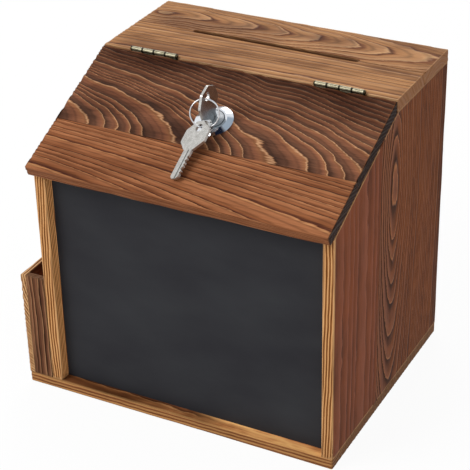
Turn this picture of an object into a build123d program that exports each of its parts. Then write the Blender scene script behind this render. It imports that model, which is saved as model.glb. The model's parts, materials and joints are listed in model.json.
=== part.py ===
from build123d import *
import math
import os

# Wooden suggestion box: a five-sided case with a sloping lid that locks, a paper slot
# in the top, a recessed chalkboard in front and an open card pocket on the left side.
# Units are millimetres. +Z is up and the chalkboard faces -Y.
# The origin is the middle of the base board's underside.

# Case
case_width = 235.0
case_depth = 199.0
case_height = 245.0
base_thickness = 9.0
side_thickness = 9.0
top_thickness = 9.0
back_thickness = 9.0
crease_from_front = 102.5
lid_slope = 23.8
edge_round = 0.8
base_corner_round = 1.6
base_edge_round = 1.4

# How far a cut runs past the face that it opens
overrun = 1.0

# Boards that each panel is glued up from
side_front_board_width = 77.0
back_lower_board_height = 118.0
lid_upper_board_width = 75.0

# Lid
lid_thickness = 9.0
lid_overhang = 10.5
lid_seat_gap = 0.3
lid_edge_round = 1.2

# Paper slot in the top
slot_length = 136.0
slot_width = 5.5
slot_from_crease = 50.5
slot_offset = -0.8

# Chalkboard and its grooves
chalkboard_recess = 9.0
chalkboard_thickness = 3.0
groove_depth = 4.0
groove_clearance = 0.15
chalkboard_top_gap = 0.8

# Card pocket
pocket_reach = 20.5
pocket_wall = 4.8
pocket_top = 96.5

# Butt hinges
hinge_length = 38.0
hinge_from_edge = 24.5
knuckle_count = 4
knuckle_radius = 1.7
knuckle_gap = 0.3
hinge_axis_rise = 1.2
hinge_pin_radius = 0.9
pin_clearance = 0.05
pin_head_radius = 1.35
pin_head_height = 0.5
leaf_thickness = 1.0
leaf_height = 7.6
leaf_gap = 0.16
crease_gap = 1.2
hinge_fit = 0.1
knuckle_relief = 0.3
hinge_screws_per_leaf = 2
hinge_screw_margin = 8.0
hinge_screw_drop = 5.4
hinge_screw_length = 7.0
hinge_screw_radius = 0.9
hinge_screw_head_radius = 1.8
screw_slot_width = 0.5
screw_slot_depth = 0.4

# Cam lock
lock_from_crease = 49.5
lock_offset = -1.0
bezel_radius = 14.1
bezel_edge = 0.6
bezel_height = 2.8
bezel_face_radius = 10.0
barrel_radius = 9.5
barrel_length = 19.6
barrel_flat = 8.3
barrel_hole_clearance = 0.15
plug_head_radius = 8.0
plug_head_depth = 2.2
plug_radius = 6.4
plug_clearance = 0.06
nut_across_flats = 24.0
nut_height = 4.0
nut_chamfer = 0.6
washer_radius = 13.0
washer_thickness = 0.8
drive_size = 7.0
drive_clearance = 0.1
cam_thickness = 2.0
cam_length = 34.0
cam_width = 12.0
cam_gap = 0.4
cam_screw_head_radius = 3.6
cam_screw_head_height = 1.8
cam_screw_radius = 1.9
cam_screw_grip = 1.6

# Rail across the case that the cam catches
rail_from_crease = 72.0
rail_width = 17.0
rail_thickness = 9.2
rail_gap = 0.6
rail_housing_depth = 4.0
rail_fit = 0.1

# Keys
key_thickness = 1.8
key_blade_length = 24.0
key_blade_half_width = 3.9
key_bow_half_width = 12.0
key_bow_low = 7.0
key_bow_high = 17.0
key_bow_top = 24.2
key_bow_top_half_width = 4.8
key_neck_half_width = 4.7
key_hole_height = 18.4
key_hole_radius = 3.1
key_stand_off = 4.2
key_cut_pitch = 3.2
key_cut_depths = (1.0, 1.5, 0.7, 1.3, 0.9)
key_corner_round = 2.0
key_groove_width = 1.1
key_groove_depth = 0.45
keyway_clearance = 0.2
keyway_end_clearance = 0.5

# Split ring, and how the ring and the spare key hang in front of the lock
ring_mean_radius = 10.05
ring_wire_radius = 0.45
ring_turn_gap = 0.42
ring_turns = 1.95
ring_slack = 2.6
ring_first_slack = 1.7
ring_side_shift = 1.1
ring_face_shift = 0.2
ring_facing = (0.406, -0.719, 0.564)
spare_side = -1.5
spare_hole_rise = 8.95
spare_tip_rise = 2.7
spare_yaw = -2.1
spare_roll = 24.6

# Nails
nail_radius = 0.7
nail_head_radius = 1.4
nail_head_height = 0.8
nail_point_length = 2.4
base_nail_length = 25.0
pocket_nail_length = 16.0
nail_clearance = 0.02
side_nail_count = 4
back_nail_count = 3
wall_nail_count = 3
nail_end_margin = 22.0
pocket_nail_drop = 18.0

# Places worked out from the sizes above
slope = math.radians(lid_slope)
base_width = case_width + pocket_reach
base_left = -base_width / 2
case_left = base_left + pocket_reach
case_right = base_width / 2
case_middle = (case_left + case_right) / 2
front = -case_depth / 2
rear = case_depth / 2
top_underside = case_height - top_thickness
crease = front + crease_from_front
inner_left = case_left + side_thickness
inner_right = case_right - side_thickness
back_front_face = rear - back_thickness
side_joint = front + side_front_board_width
chalk_front = front + chalkboard_recess
chalk_rear = chalk_front + chalkboard_thickness
lid_length = (crease_from_front + lid_overhang) / math.cos(slope)
rail_depth = lid_thickness + rail_gap
cam_top = -(barrel_length + cam_gap)
keyway_half_width = key_blade_half_width + keyway_clearance
keyway_half_thickness = key_thickness / 2 + keyway_clearance
blade_tip = bezel_height + key_stand_off - key_blade_length
hinge_middles = (
    case_left + hinge_from_edge + hinge_length / 2,
    case_right - hinge_from_edge - hinge_length / 2,
)
hinge_names = ("left", "right")

# Frames: the lid's outer face at the crease with Y up the slope and Z out of the lid,
# the lock's axis on that face, and the hinge axis
lid_frame = Pos(case_middle, crease, case_height) * Rot(lid_slope, 0, 0)
lock_frame = lid_frame * Pos(lock_offset, -lock_from_crease, 0)
hinge_axis_z = case_height + hinge_axis_rise


def seat_height(y, gap=0.0):
    """Height of the lid's inner face above a point of the case, less a gap."""
    drop = (crease - y) * math.tan(slope)
    return case_height - drop - (lid_thickness + gap) / math.cos(slope)


def block(x0, x1, y0, y1, z0, z1):
    """A plain board between two corners."""
    size = Box(x1 - x0, y1 - y0, z1 - z0, align=(Align.MIN, Align.MIN, Align.MIN))
    return Pos(x0, y0, z0) * size


def eased(board, axis, side, radius=edge_round):
    """The board with the edges along one axis, on its highest face that way, rounded over."""
    face = board.faces().sort_by(side)[-1]
    return fillet(face.edges().filter_by(axis), radius)


def spread(first, last, count):
    """Evenly spaced places from the first to the last."""
    return [first + (last - first) * i / (count - 1) for i in range(count)]


def nail_form(length, extra=0.0):
    """A nail with its head's face at Z 0 and its point down; extra makes its hole."""
    with BuildPart() as nail:
        with BuildSketch(Plane.XZ):
            with BuildLine():
                Polyline(
                    (0, 0),
                    (nail_head_radius + extra, 0),
                    (nail_head_radius + extra, -nail_head_height),
                    (nail_radius + extra, -nail_head_height),
                    (nail_radius + extra, nail_point_length - length),
                    (0, -length - extra),
                    close=True,
                )
            make_face()
        revolve(axis=Axis.Z)
    return nail.part


def nails(places, length):
    """One nail at each place."""
    return Compound([place * nail_form(length) for place in places])


def nail_holes(board, places, length):
    """The board with a hole for each nail."""
    for place in places:
        board = board - place * nail_form(length, nail_clearance)
    return board


# Nail places: up through the base, and in through the pocket's outer wall
upward = Rot(180, 0, 0)
inward = Rot(0, -90, 0)
side_nail_ys = spread(front + nail_end_margin, rear - nail_end_margin, side_nail_count)
side_nail_xs = (case_left + side_thickness / 2, case_right - side_thickness / 2)
side_nails = [Pos(x, y, 0) * upward for x in side_nail_xs for y in side_nail_ys]
back_nail_xs = spread(inner_left + nail_end_margin, inner_right - nail_end_margin, back_nail_count)
back_nails = [Pos(x, rear - back_thickness / 2, 0) * upward for x in back_nail_xs]
wall_nail_ys = spread(front + nail_end_margin, rear - nail_end_margin, wall_nail_count)
wall_nails = [Pos(base_left + pocket_wall / 2, y, 0) * upward for y in wall_nail_ys]
base_nail_places = side_nails + back_nails + wall_nails
pocket_nail_ys = (front + pocket_wall / 2, rear - pocket_wall / 2)
pocket_nail_zs = (base_thickness + pocket_nail_drop, pocket_top - pocket_nail_drop)
pocket_nail_places = [Pos(base_left, y, z) * inward for y in pocket_nail_ys for z in pocket_nail_zs]


def screw_form(extra=0.0):
    """A countersunk screw with its head's face at Z 0 and its point down."""
    head_depth = hinge_screw_head_radius - hinge_screw_radius
    with BuildPart() as screw:
        with BuildSketch(Plane.XZ):
            with BuildLine():
                Polyline(
                    (0, extra),
                    (hinge_screw_head_radius + extra, extra),
                    (hinge_screw_radius + extra, -head_depth),
                    (hinge_screw_radius + extra, -hinge_screw_length + hinge_screw_radius),
                    (0, -hinge_screw_length - extra),
                    close=True,
                )
            make_face()
        revolve(axis=Axis.Z)
    return screw.part


def slotted_screw():
    """The same screw with its driver slot."""
    slot = Box(2 * hinge_screw_head_radius, screw_slot_width, 2 * screw_slot_depth)
    return screw_form() - slot


def hinge_screw_places(middle, toward_rear):
    """Screw places of one leaf: heads in the crease, points into the wood."""
    side = 1 if toward_rear else -1
    tilt = Rot(90 * side, 0, 0)
    half = hinge_length / 2 - hinge_screw_margin
    offsets = spread(-half, half, hinge_screws_per_leaf)
    height = case_height - hinge_screw_drop
    return [Pos(middle + x, crease + side * leaf_gap / 2, height) * tilt for x in offsets]


def hinge_recess(middle, toward_rear):
    """What one leaf and the knuckles take out of the board's edge."""
    length = hinge_length + 2 * hinge_fit
    depth = leaf_gap / 2 + leaf_thickness + hinge_fit / 2
    bottom = case_height - leaf_height - hinge_fit
    near, far = (crease, crease + depth) if toward_rear else (crease - depth, crease)
    leaf = block(middle - length / 2, middle + length / 2, near, far, bottom, case_height + overrun)
    groove_length = length + 2 * (pin_head_height + knuckle_relief)
    knuckles = Rot(0, 90, 0) * Cylinder(knuckle_radius + knuckle_relief, groove_length)
    recess = leaf + Pos(middle, crease, hinge_axis_z) * knuckles
    for place in hinge_screw_places(middle, toward_rear):
        recess = recess + place * screw_form(nail_clearance)
    return recess


def base_board():
    """The base, which also carries the pocket, with the groove for the chalkboard."""
    board = block(base_left, case_right, front, rear, 0, base_thickness)
    board = fillet(board.edges().filter_by(Axis.Z), base_corner_round)
    board = fillet(board.faces().sort_by(Axis.Z)[0].edges(), base_edge_round)
    groove = block(
        inner_left - groove_depth, inner_right + groove_depth,
        chalk_front - groove_clearance, chalk_rear + groove_clearance,
        base_thickness - groove_depth, base_thickness + overrun,
    )
    return nail_holes(board - groove, base_nail_places, base_nail_length)


def side_outline():
    """The five-sided outline of a side panel in the YZ plane."""
    knee = crease + (lid_thickness + lid_seat_gap - top_thickness * math.cos(slope)) / math.sin(slope)
    with BuildSketch(Plane.YZ) as outline:
        with BuildLine():
            Polyline(
                (front, base_thickness),
                (rear, base_thickness),
                (rear, top_underside),
                (knee, top_underside),
                (front, seat_height(front, lid_seat_gap)),
                close=True,
            )
        make_face()
    return outline.sketch


def side_board(outer, inner, front_board):
    """One of the two boards of a side panel, grooved and notched on its inner face."""
    x0, x1 = min(outer, inner), max(outer, inner)
    panel = Pos(x0, 0, 0) * extrude(side_outline(), x1 - x0)
    if front_board:
        board = panel & block(x0, x1, front, side_joint, 0, case_height)
    else:
        board = panel & block(x0, x1, side_joint, rear, 0, case_height)
    end = front if front_board else rear
    uprights = board.edges().filter_by(Axis.Z).filter_by(lambda edge: abs(edge.center().Y - end) < 0.01)
    board = fillet(uprights, edge_round)
    inner_side = 1 if inner > outer else -1
    groove_x = sorted((inner - inner_side * groove_depth, inner + inner_side * overrun))
    board = board - block(
        *groove_x, chalk_front - groove_clearance, chalk_rear + groove_clearance,
        base_thickness - overrun, case_height,
    )
    board = board - rail_form(rail_fit)
    return nail_holes(board, side_nails, base_nail_length)


def back_board(z0, z1):
    """One of the two boards of the back, between the sides."""
    board = block(inner_left, inner_right, back_front_face, rear, z0, z1)
    return nail_holes(board, back_nails, base_nail_length)


def top_board(y0, y1):
    """One of the two boards of the top, with its half of the paper slot."""
    board = block(case_left, case_right, y0, y1, top_underside, case_height)
    board = eased(board, Axis.Y, Axis.Z)
    slot = SlotOverall(slot_length, slot_width)
    slot_place = Pos(case_middle + slot_offset, crease + slot_from_crease, top_underside - overrun)
    board = board - slot_place * extrude(slot, top_thickness + 2 * overrun)
    for middle in hinge_middles:
        board = board - hinge_recess(middle, True)
    return board


def lid_board(upper):
    """One of the two boards of the lid: the upper one carries the hinges and the lock."""
    half = case_width / 2
    if upper:
        near, far = -lid_upper_board_width, lid_thickness
    else:
        near, far = -lid_length, -lid_upper_board_width
    board = Pos(-half, near, -lid_thickness) * Box(
        case_width, far - near, lid_thickness, align=(Align.MIN, Align.MIN, Align.MIN)
    )
    board = eased(board, Axis.Y, Axis.Z)
    if not upper:
        low_edges = board.faces().sort_by(Axis.Y)[0].edges().filter_by(Axis.X)
        board = fillet(low_edges, lid_edge_round)
    board = lid_frame * board
    if upper:
        behind = block(
            case_left - overrun, case_right + overrun,
            crease - crease_gap / 2, crease + 2 * lid_thickness,
            case_height - 3 * lid_thickness, case_height + lid_thickness,
        )
        board = board - behind
        barrel_hole = Cylinder(barrel_radius + barrel_hole_clearance, 2 * (lid_thickness + overrun))
        board = board - lock_frame * barrel_hole
        for middle in hinge_middles:
            board = board - hinge_recess(middle, False)
    return board


def chalkboard():
    """The writing panel, held in grooves of the base and both sides."""
    return block(
        inner_left - groove_depth + groove_clearance,
        inner_right + groove_depth - groove_clearance,
        chalk_front,
        chalk_rear,
        base_thickness - groove_depth + groove_clearance,
        seat_height(chalk_front, chalkboard_top_gap),
    )


def rail_form(extra=0.0):
    """The rail across the case under the lid, housed in both sides."""
    length = inner_right - inner_left + 2 * (rail_housing_depth - rail_fit + extra)
    rail = Box(
        length, rail_width + 2 * extra, rail_thickness + 2 * extra,
        align=(Align.CENTER, Align.CENTER, Align.CENTER),
    )
    place = Pos(0, -rail_from_crease - rail_width / 2, -rail_depth - rail_thickness / 2)
    return lid_frame * place * rail


def pocket_end_wall(y0, y1):
    """The pocket's front or back wall, between the outer wall and the side."""
    wall = block(base_left + pocket_wall, case_left, y0, y1, base_thickness, pocket_top)
    return nail_holes(wall, pocket_nail_places, pocket_nail_length)


def pocket_outer_wall():
    """The pocket's outer wall, along the whole side."""
    wall = block(base_left, base_left + pocket_wall, front, rear, base_thickness, pocket_top)
    wall = eased(wall, Axis.Y, Axis.Z)
    wall = nail_holes(wall, wall_nails, base_nail_length)
    return nail_holes(wall, pocket_nail_places, pocket_nail_length)


def hinge_leaf(middle, toward_rear):
    """A leaf with its knuckles, bored for the pin, its screw holes countersunk."""
    side = 1 if toward_rear else -1
    near = crease + side * leaf_gap / 2
    far = near + side * leaf_thickness
    y0, y1 = min(near, far), max(near, far)
    left = middle - hinge_length / 2
    leaf = block(left, left + hinge_length, y0, y1, case_height - leaf_height, hinge_axis_z)
    pitch = hinge_length / knuckle_count
    for i in range(knuckle_count):
        x = left + pitch * (i + 0.5)
        own = (i % 2 == 1) == toward_rear
        place = Pos(x, crease, hinge_axis_z) * Rot(0, 90, 0)
        if own:
            leaf = leaf + place * Cylinder(knuckle_radius, pitch - knuckle_gap)
        else:
            leaf = leaf - place * Cylinder(knuckle_radius + knuckle_gap, pitch + knuckle_gap)
    bore_radius = hinge_pin_radius + (0 if toward_rear else pin_clearance)
    bore = Pos(middle, crease, hinge_axis_z) * Rot(0, 90, 0)
    leaf = leaf - bore * Cylinder(bore_radius, hinge_length + 2 * overrun)
    for place in hinge_screw_places(middle, toward_rear):
        leaf = leaf - place * screw_form(nail_clearance)
    return leaf


def hinge_pin(middle):
    """The hinge's pin with its two peened ends."""
    reach = hinge_length / 2 + hinge_fit / 2
    pin = Cylinder(hinge_pin_radius, 2 * reach)
    head = Cylinder(pin_head_radius, pin_head_height)
    for side in (1, -1):
        pin = pin + Pos(0, 0, side * (reach + pin_head_height / 2)) * head
    return Pos(middle, crease, hinge_axis_z) * Rot(0, 90, 0) * pin


def hinge_screws(toward_rear):
    """All screws of the leaves on one side of the crease."""
    places = [p for middle in hinge_middles for p in hinge_screw_places(middle, toward_rear)]
    return Compound([place * slotted_screw() for place in places])


def lock_housing():
    """The lock's body: a coned bezel on a barrel with two flats, bored for the plug."""
    with BuildPart() as housing:
        with BuildSketch(Plane.XZ):
            with BuildLine():
                Polyline(
                    (plug_radius + plug_clearance, -barrel_length),
                    (barrel_radius, -barrel_length),
                    (barrel_radius, 0),
                    (bezel_radius, 0),
                    (bezel_radius, bezel_edge),
                    (bezel_face_radius, bezel_height),
                    (plug_head_radius + plug_clearance, bezel_height),
                    (plug_head_radius + plug_clearance, bezel_height - plug_head_depth - plug_clearance),
                    (plug_radius + plug_clearance, bezel_height - plug_head_depth - plug_clearance),
                    close=True,
                )
            make_face()
        revolve(axis=Axis.Z)
    body = housing.part
    flat = Box(
        barrel_radius, 2 * barrel_radius, barrel_length,
        align=(Align.MIN, Align.CENTER, Align.MAX),
    )
    for turn in (0, 180):
        body = body - Rot(0, 0, turn) * Pos(barrel_flat, 0, 0) * flat
    return lock_frame * body


def lock_washer():
    """The flat washer between the lid and the nut."""
    ring = Cylinder(washer_radius, washer_thickness)
    ring = ring - Cylinder(barrel_radius + barrel_hole_clearance, 2 * washer_thickness)
    return lock_frame * Pos(0, 0, -lid_thickness - washer_thickness / 2) * ring


def lock_nut():
    """The hexagon nut that clamps the lock in the lid."""
    hexagon = RegularPolygon(nut_across_flats / 2, 6, major_radius=False)
    hexagon = hexagon - Circle(barrel_radius + plug_clearance)
    nut = extrude(hexagon, nut_height)
    nut = chamfer(nut.faces().sort_by(Axis.Z)[0].outer_wire().edges(), nut_chamfer)
    return lock_frame * Pos(0, 0, -lid_thickness - washer_thickness - nut_height) * nut


def lock_plug():
    """The turning plug: a headed cylinder with the keyway and a square drive."""
    head_base = bezel_height - plug_head_depth
    body_length = head_base + barrel_length + cam_gap
    plug = Pos(0, 0, head_base) * extrude(Circle(plug_head_radius), plug_head_depth)
    plug = plug + Pos(0, 0, head_base) * extrude(Circle(plug_radius), -body_length)
    drive = extrude(Rectangle(drive_size, drive_size), -cam_thickness)
    plug = plug + Pos(0, 0, cam_top) * drive
    keyway_bottom = blade_tip - keyway_end_clearance
    keyway = Rectangle(2 * keyway_half_thickness, 2 * keyway_half_width)
    plug = plug - Pos(0, 0, keyway_bottom) * extrude(keyway, bezel_height - keyway_bottom + overrun)
    screw_hole = extrude(Circle(cam_screw_radius + nail_clearance), cam_screw_grip + cam_thickness)
    plug = plug - Pos(0, 0, cam_top - cam_thickness) * screw_hole
    return lock_frame * plug


def lock_cam():
    """The flat cam, pointing to the right while the lock is open."""
    width_half = cam_width / 2
    with BuildSketch() as outline:
        Circle(width_half)
        with Locations(((cam_length - width_half) / 2, 0)):
            Rectangle(cam_length - width_half, cam_width)
        with Locations((cam_length - width_half, 0)):
            Circle(width_half)
        Rectangle(drive_size + 2 * drive_clearance, drive_size + 2 * drive_clearance, mode=Mode.SUBTRACT)
    plate = extrude(outline.sketch, -cam_thickness)
    return lock_frame * Pos(0, 0, cam_top) * plate


def cam_screw():
    """The screw that holds the cam on the plug."""
    face = cam_top - cam_thickness
    head = extrude(Circle(cam_screw_head_radius), -cam_screw_head_height)
    head = fillet(head.faces().sort_by(Axis.Z)[0].edges(), cam_screw_head_height / 2)
    shank = extrude(Circle(cam_screw_radius), cam_thickness + cam_screw_grip - nail_clearance)
    slot = Box(2 * cam_screw_head_radius, 2 * screw_slot_width, 2 * screw_slot_depth)
    screw = head + shank - Pos(0, 0, -cam_screw_head_height) * slot
    return lock_frame * Pos(0, 0, face) * screw


def key_form():
    """A flat key in the XY plane: its shoulder at the origin and its blade along -Y."""
    with BuildSketch() as outline:
        with BuildLine():
            half = [
                (key_bow_top_half_width, key_bow_top),
                (key_bow_half_width, key_bow_high),
                (key_bow_half_width, key_bow_low),
                (key_neck_half_width, 0),
            ]
            mirrored = [(-x, y) for x, y in reversed(half)]
            Polyline(*half, *mirrored, close=True)
        make_face()
        with BuildLine():
            tip = key_blade_half_width / 2
            Polyline(
                (key_blade_half_width, overrun),
                (-key_blade_half_width, overrun),
                (-key_blade_half_width, tip - key_blade_length),
                (-tip, -key_blade_length),
                (tip, -key_blade_length),
                (key_blade_half_width, tip - key_blade_length),
                close=True,
            )
        make_face()
        with Locations((0, key_hole_height)):
            Circle(key_hole_radius, mode=Mode.SUBTRACT)
    key = Pos(0, 0, -key_thickness / 2) * extrude(outline.sketch, key_thickness)
    corners = key.edges().filter_by(Axis.Z).filter_by_position(Axis.Y, key_bow_low / 2, key_bow_top)
    key = fillet(corners, key_corner_round)
    for i, depth in enumerate(key_cut_depths):
        cut = Pos(key_blade_half_width, tip - key_blade_length + (i + 1) * key_cut_pitch, 0)
        side = depth * math.sqrt(2)
        key = key - cut * Rot(0, 0, 45) * Box(side, side, 2 * key_thickness)
    groove = Box(key_groove_width, key_blade_length, 2 * key_groove_depth)
    for side in (1, -1):
        key = key - Pos(side * key_groove_width, -key_blade_length / 2, side * key_thickness / 2) * groove
    return key


# The key in the lock stands with its flat faces square to the crease
key_in_lock = lock_frame * Pos(0, 0, bezel_height + key_stand_off) * Rot(0, 0, 90) * Rot(90, 0, 0)

# The spare key hangs from the ring, down the slope, with its tip just above the lid
first_hole_rise = bezel_height + key_stand_off + key_hole_height
hole_distance = 2 * ring_mean_radius + ring_slack
hole_fall = first_hole_rise - spare_hole_rise
spare_reach = math.sqrt(hole_distance**2 - hole_fall**2 - spare_side**2)
spare_length = key_hole_height + key_blade_length
spare_pitch = math.degrees(math.asin((spare_hole_rise - spare_tip_rise) / spare_length))
first_hole = lock_frame * Pos(0, 0, first_hole_rise)
spare_hole = lock_frame * Pos(spare_side, -spare_reach, spare_hole_rise)
spare_place = (
    spare_hole
    * Rot(0, 0, spare_yaw)
    * Rot(spare_pitch, 0, 0)
    * Rot(0, -spare_roll, 0)
    * Pos(0, -key_hole_height, 0)
)

# The ring's place: between the holes, turned towards the front, and hanging a little aside
hang_line = (spare_hole.position - first_hole.position).normalized()
ring_front = (lock_frame * Pos(*ring_facing)).position - lock_frame.position
ring_plane = Plane(origin=first_hole.position, x_dir=hang_line, z_dir=ring_front)
ring_middle = Pos(ring_mean_radius + ring_first_slack, ring_side_shift, ring_face_shift)
ring_place = ring_plane.location * ring_middle

# The ring's wire: half turns, each tilted so that it climbs half the pitch of the turns
half_turn_rise = ring_wire_radius + ring_turn_gap / 2
half_turn_tilt = math.degrees(math.atan(half_turn_rise / (2 * ring_mean_radius)))
half_turn_radius = math.hypot(ring_mean_radius, half_turn_rise / 2)


def ring_half_turn(number):
    """One half turn of the wire's centre line; the last one may stop short."""
    odd = number % 2
    size = 180 * min(1, 2 * ring_turns - number)
    arc = CenterArc((0, 0), half_turn_radius, 180 * odd, size)
    rise = half_turn_rise * (number + 0.5 - ring_turns)
    return Pos(0, 0, rise) * Rot(0, -half_turn_tilt if odd else half_turn_tilt, 0) * arc


def ring_path():
    """The centre line of the ring's wire."""
    return Wire([ring_half_turn(number) for number in range(math.ceil(2 * ring_turns))])


def split_ring():
    """A sprung wire ring of nearly two turns, its ends to the side of the keys."""
    path = ring_path()
    section = Plane(origin=path @ 0, z_dir=path % 0) * Circle(ring_wire_radius)
    return ring_place * Rot(0, 0, 90) * sweep(section, path=path)


def ring_self_gap(steps=120):
    """The least gap between the ring's turns, measured on points of its centre line."""
    path = ring_path()
    points = [path @ (i / steps) for i in range(steps + 1)]
    apart = math.ceil(steps / (2 * ring_turns))
    pairs = [(p, q) for i, p in enumerate(points) for q in points[i + apart:]]
    return min((p - q).length for p, q in pairs) - 2 * ring_wire_radius


os.makedirs("parts", exist_ok=True)

parts = {
    "base_board": base_board(),
    "left_side_front_board": side_board(case_left, inner_left, True),
    "left_side_rear_board": side_board(case_left, inner_left, False),
    "right_side_front_board": side_board(case_right, inner_right, True),
    "right_side_rear_board": side_board(case_right, inner_right, False),
    "back_lower_board": back_board(base_thickness, base_thickness + back_lower_board_height),
    "back_upper_board": back_board(base_thickness + back_lower_board_height, top_underside),
    "top_front_board": top_board(crease + crease_gap / 2, crease + slot_from_crease),
    "top_rear_board": top_board(crease + slot_from_crease, rear),
    "lid_upper_board": lid_board(True),
    "lid_lower_board": lid_board(False),
    "chalkboard": chalkboard(),
    "lock_rail": rail_form(),
    "pocket_outer_wall": pocket_outer_wall(),
    "pocket_front_wall": pocket_end_wall(front, front + pocket_wall),
    "pocket_back_wall": pocket_end_wall(rear - pocket_wall, rear),
    "base_nails": nails(base_nail_places, base_nail_length),
    "pocket_nails": nails(pocket_nail_places, pocket_nail_length),
    "top_leaf_screws": hinge_screws(True),
    "lid_leaf_screws": hinge_screws(False),
    "lock_housing": lock_housing(),
    "lock_washer": lock_washer(),
    "lock_nut": lock_nut(),
    "lock_plug": lock_plug(),
    "lock_cam": lock_cam(),
    "cam_screw": cam_screw(),
    "key": key_in_lock * key_form(),
    "spare_key": spare_place * key_form(),
    "split_ring": split_ring(),
}
for name, middle in zip(hinge_names, hinge_middles):
    parts[f"{name}_hinge_top_leaf"] = hinge_leaf(middle, True)
    parts[f"{name}_hinge_lid_leaf"] = hinge_leaf(middle, False)
    parts[f"{name}_hinge_pin"] = hinge_pin(middle)

for name, shape in parts.items():
    export_step(shape, f"parts/{name}.step")
print(f"Least gap between the split ring's turns: {ring_self_gap():.2f} mm")
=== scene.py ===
"""The looks of a wooden suggestion box: torched and brushed softwood boards, a chalkboard,
brass butt hinges, and a chrome cam lock with two keys on a split ring."""

import json
import math

import bmesh
import bpy
from mathutils import Matrix, Vector

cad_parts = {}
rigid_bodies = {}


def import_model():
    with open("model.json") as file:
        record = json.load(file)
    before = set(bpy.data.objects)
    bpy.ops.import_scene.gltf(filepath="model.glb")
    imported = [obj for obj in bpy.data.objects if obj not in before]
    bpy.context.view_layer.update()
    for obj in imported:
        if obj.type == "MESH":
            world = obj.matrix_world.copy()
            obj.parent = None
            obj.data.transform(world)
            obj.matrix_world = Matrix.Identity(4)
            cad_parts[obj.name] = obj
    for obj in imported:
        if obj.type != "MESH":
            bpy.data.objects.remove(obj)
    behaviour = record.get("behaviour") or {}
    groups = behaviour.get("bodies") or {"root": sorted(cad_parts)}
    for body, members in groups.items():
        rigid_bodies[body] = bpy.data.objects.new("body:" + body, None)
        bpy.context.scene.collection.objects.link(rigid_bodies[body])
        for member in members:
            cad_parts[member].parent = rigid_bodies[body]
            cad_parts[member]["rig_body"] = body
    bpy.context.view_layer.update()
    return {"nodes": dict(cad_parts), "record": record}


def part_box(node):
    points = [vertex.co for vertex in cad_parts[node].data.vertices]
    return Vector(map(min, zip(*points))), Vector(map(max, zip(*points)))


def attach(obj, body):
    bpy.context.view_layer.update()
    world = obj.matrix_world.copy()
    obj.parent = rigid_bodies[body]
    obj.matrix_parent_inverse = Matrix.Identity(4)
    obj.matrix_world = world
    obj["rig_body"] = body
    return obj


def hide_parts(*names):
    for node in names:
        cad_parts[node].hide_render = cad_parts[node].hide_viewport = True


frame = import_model()

bl_info = {
    "name": "Suggestion box",
    "version": (1, 0, 0),
    "blender": (4, 5, 0),
    "location": "View3D > Sidebar > Suggestion box",
    "description": "Brushed wood, chalkboard paint, brass and chrome for the suggestion box",
    "category": "Object",
}

MM = 0.001
# The box, the body and the material slot of each CAD node
BOX_OF = {name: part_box(name) for name in frame["nodes"]}
BODY_OF = {name: node["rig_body"] for name, node in frame["nodes"].items()}
SLOT_OF = {part["node"]: part["material_slot"] for part in frame["record"]["subparts"]}

RIGHT = Vector((1, 0, 0))
BACK = Vector((0, 1, 0))
UP = Vector((0, 0, 1))

# The angle of the lid's slope, and the directions up it and straight out of it
LID_TURN = math.radians(23.8)
UP_SLOPE = Vector((0, math.cos(LID_TURN), math.sin(LID_TURN)))
OUT_OF_LID = Vector((0, -math.sin(LID_TURN), math.cos(LID_TURN)))
# The sloping edges of the sides pass through the highest corner of their front boards
SLOPE_POINT = BOX_OF["right_side_front_board"][1]
# The other boards get a point a metre up instead, far from all of them
FAR_ABOVE = Vector((0, 0, 1))


# The kinds of node that come up often, and their settings
MATHS, VECTOR, MIX = "ShaderNodeMath", "ShaderNodeVectorMath", "ShaderNodeMix"
SPREAD, NOISE = "ShaderNodeMapRange", "ShaderNodeTexNoise"
PARTS, JOINED = "ShaderNodeSeparateXYZ", "ShaderNodeCombineXYZ"
RGBA = dict(out=2, data_type="RGBA")
DOT = dict(out="Value", operation="DOT_PRODUCT")
SMOOTH = dict(interpolation_type="SMOOTHSTEP")


def linear(code):
    """A colour written as sRGB hex, as the linear RGBA that a node's socket takes."""
    parts = [int(code[i:i + 2], 16) / 255 for i in (1, 3, 5)]
    return (*(p / 12.92 if p <= 0.04045 else ((p + 0.055) / 1.055) ** 2.4 for p in parts), 1.0)


def per_metre(sizes):
    """How far a pattern's coordinates are stretched for features of these sizes in mm."""
    return tuple(1 / (size * MM) for size in sizes)


def add(tree, kind, inputs=None, out=0, stops=(), **settings):
    """Adds a node with its settings, values and links, and the (place, hex colour) stops of a
    colour ramp; gives back one of its outputs, or a list of them for a slice."""
    made = tree.nodes.new(kind)
    for name, value in settings.items():
        setattr(made, name, value)
    for key, value in (inputs or {}).items():
        if isinstance(value, bpy.types.NodeSocket):
            tree.links.new(value, made.inputs[key])
        else:
            made.inputs[key].default_value = value
    if stops:
        elements = made.color_ramp.elements
        for element, (place, code) in zip(elements, (stops[0], stops[-1])):
            element.position, element.color = place, linear(code)
        for place, code in stops[1:-1]:
            elements.new(place).color = linear(code)
    return made.outputs[out] if made.outputs else made


def shade(name, inputs, nodes, *values):
    """A material whose Principled shader takes these inputs, and those that nodes makes of
    the values."""
    material = bpy.data.materials.new(name)
    material.use_nodes = True
    tree = material.node_tree
    tree.nodes.clear()
    shader = add(tree, "ShaderNodeBsdfPrincipled", {**inputs, **nodes(tree, *values)})
    add(tree, "ShaderNodeOutputMaterial", {"Surface": shader})
    return material


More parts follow.
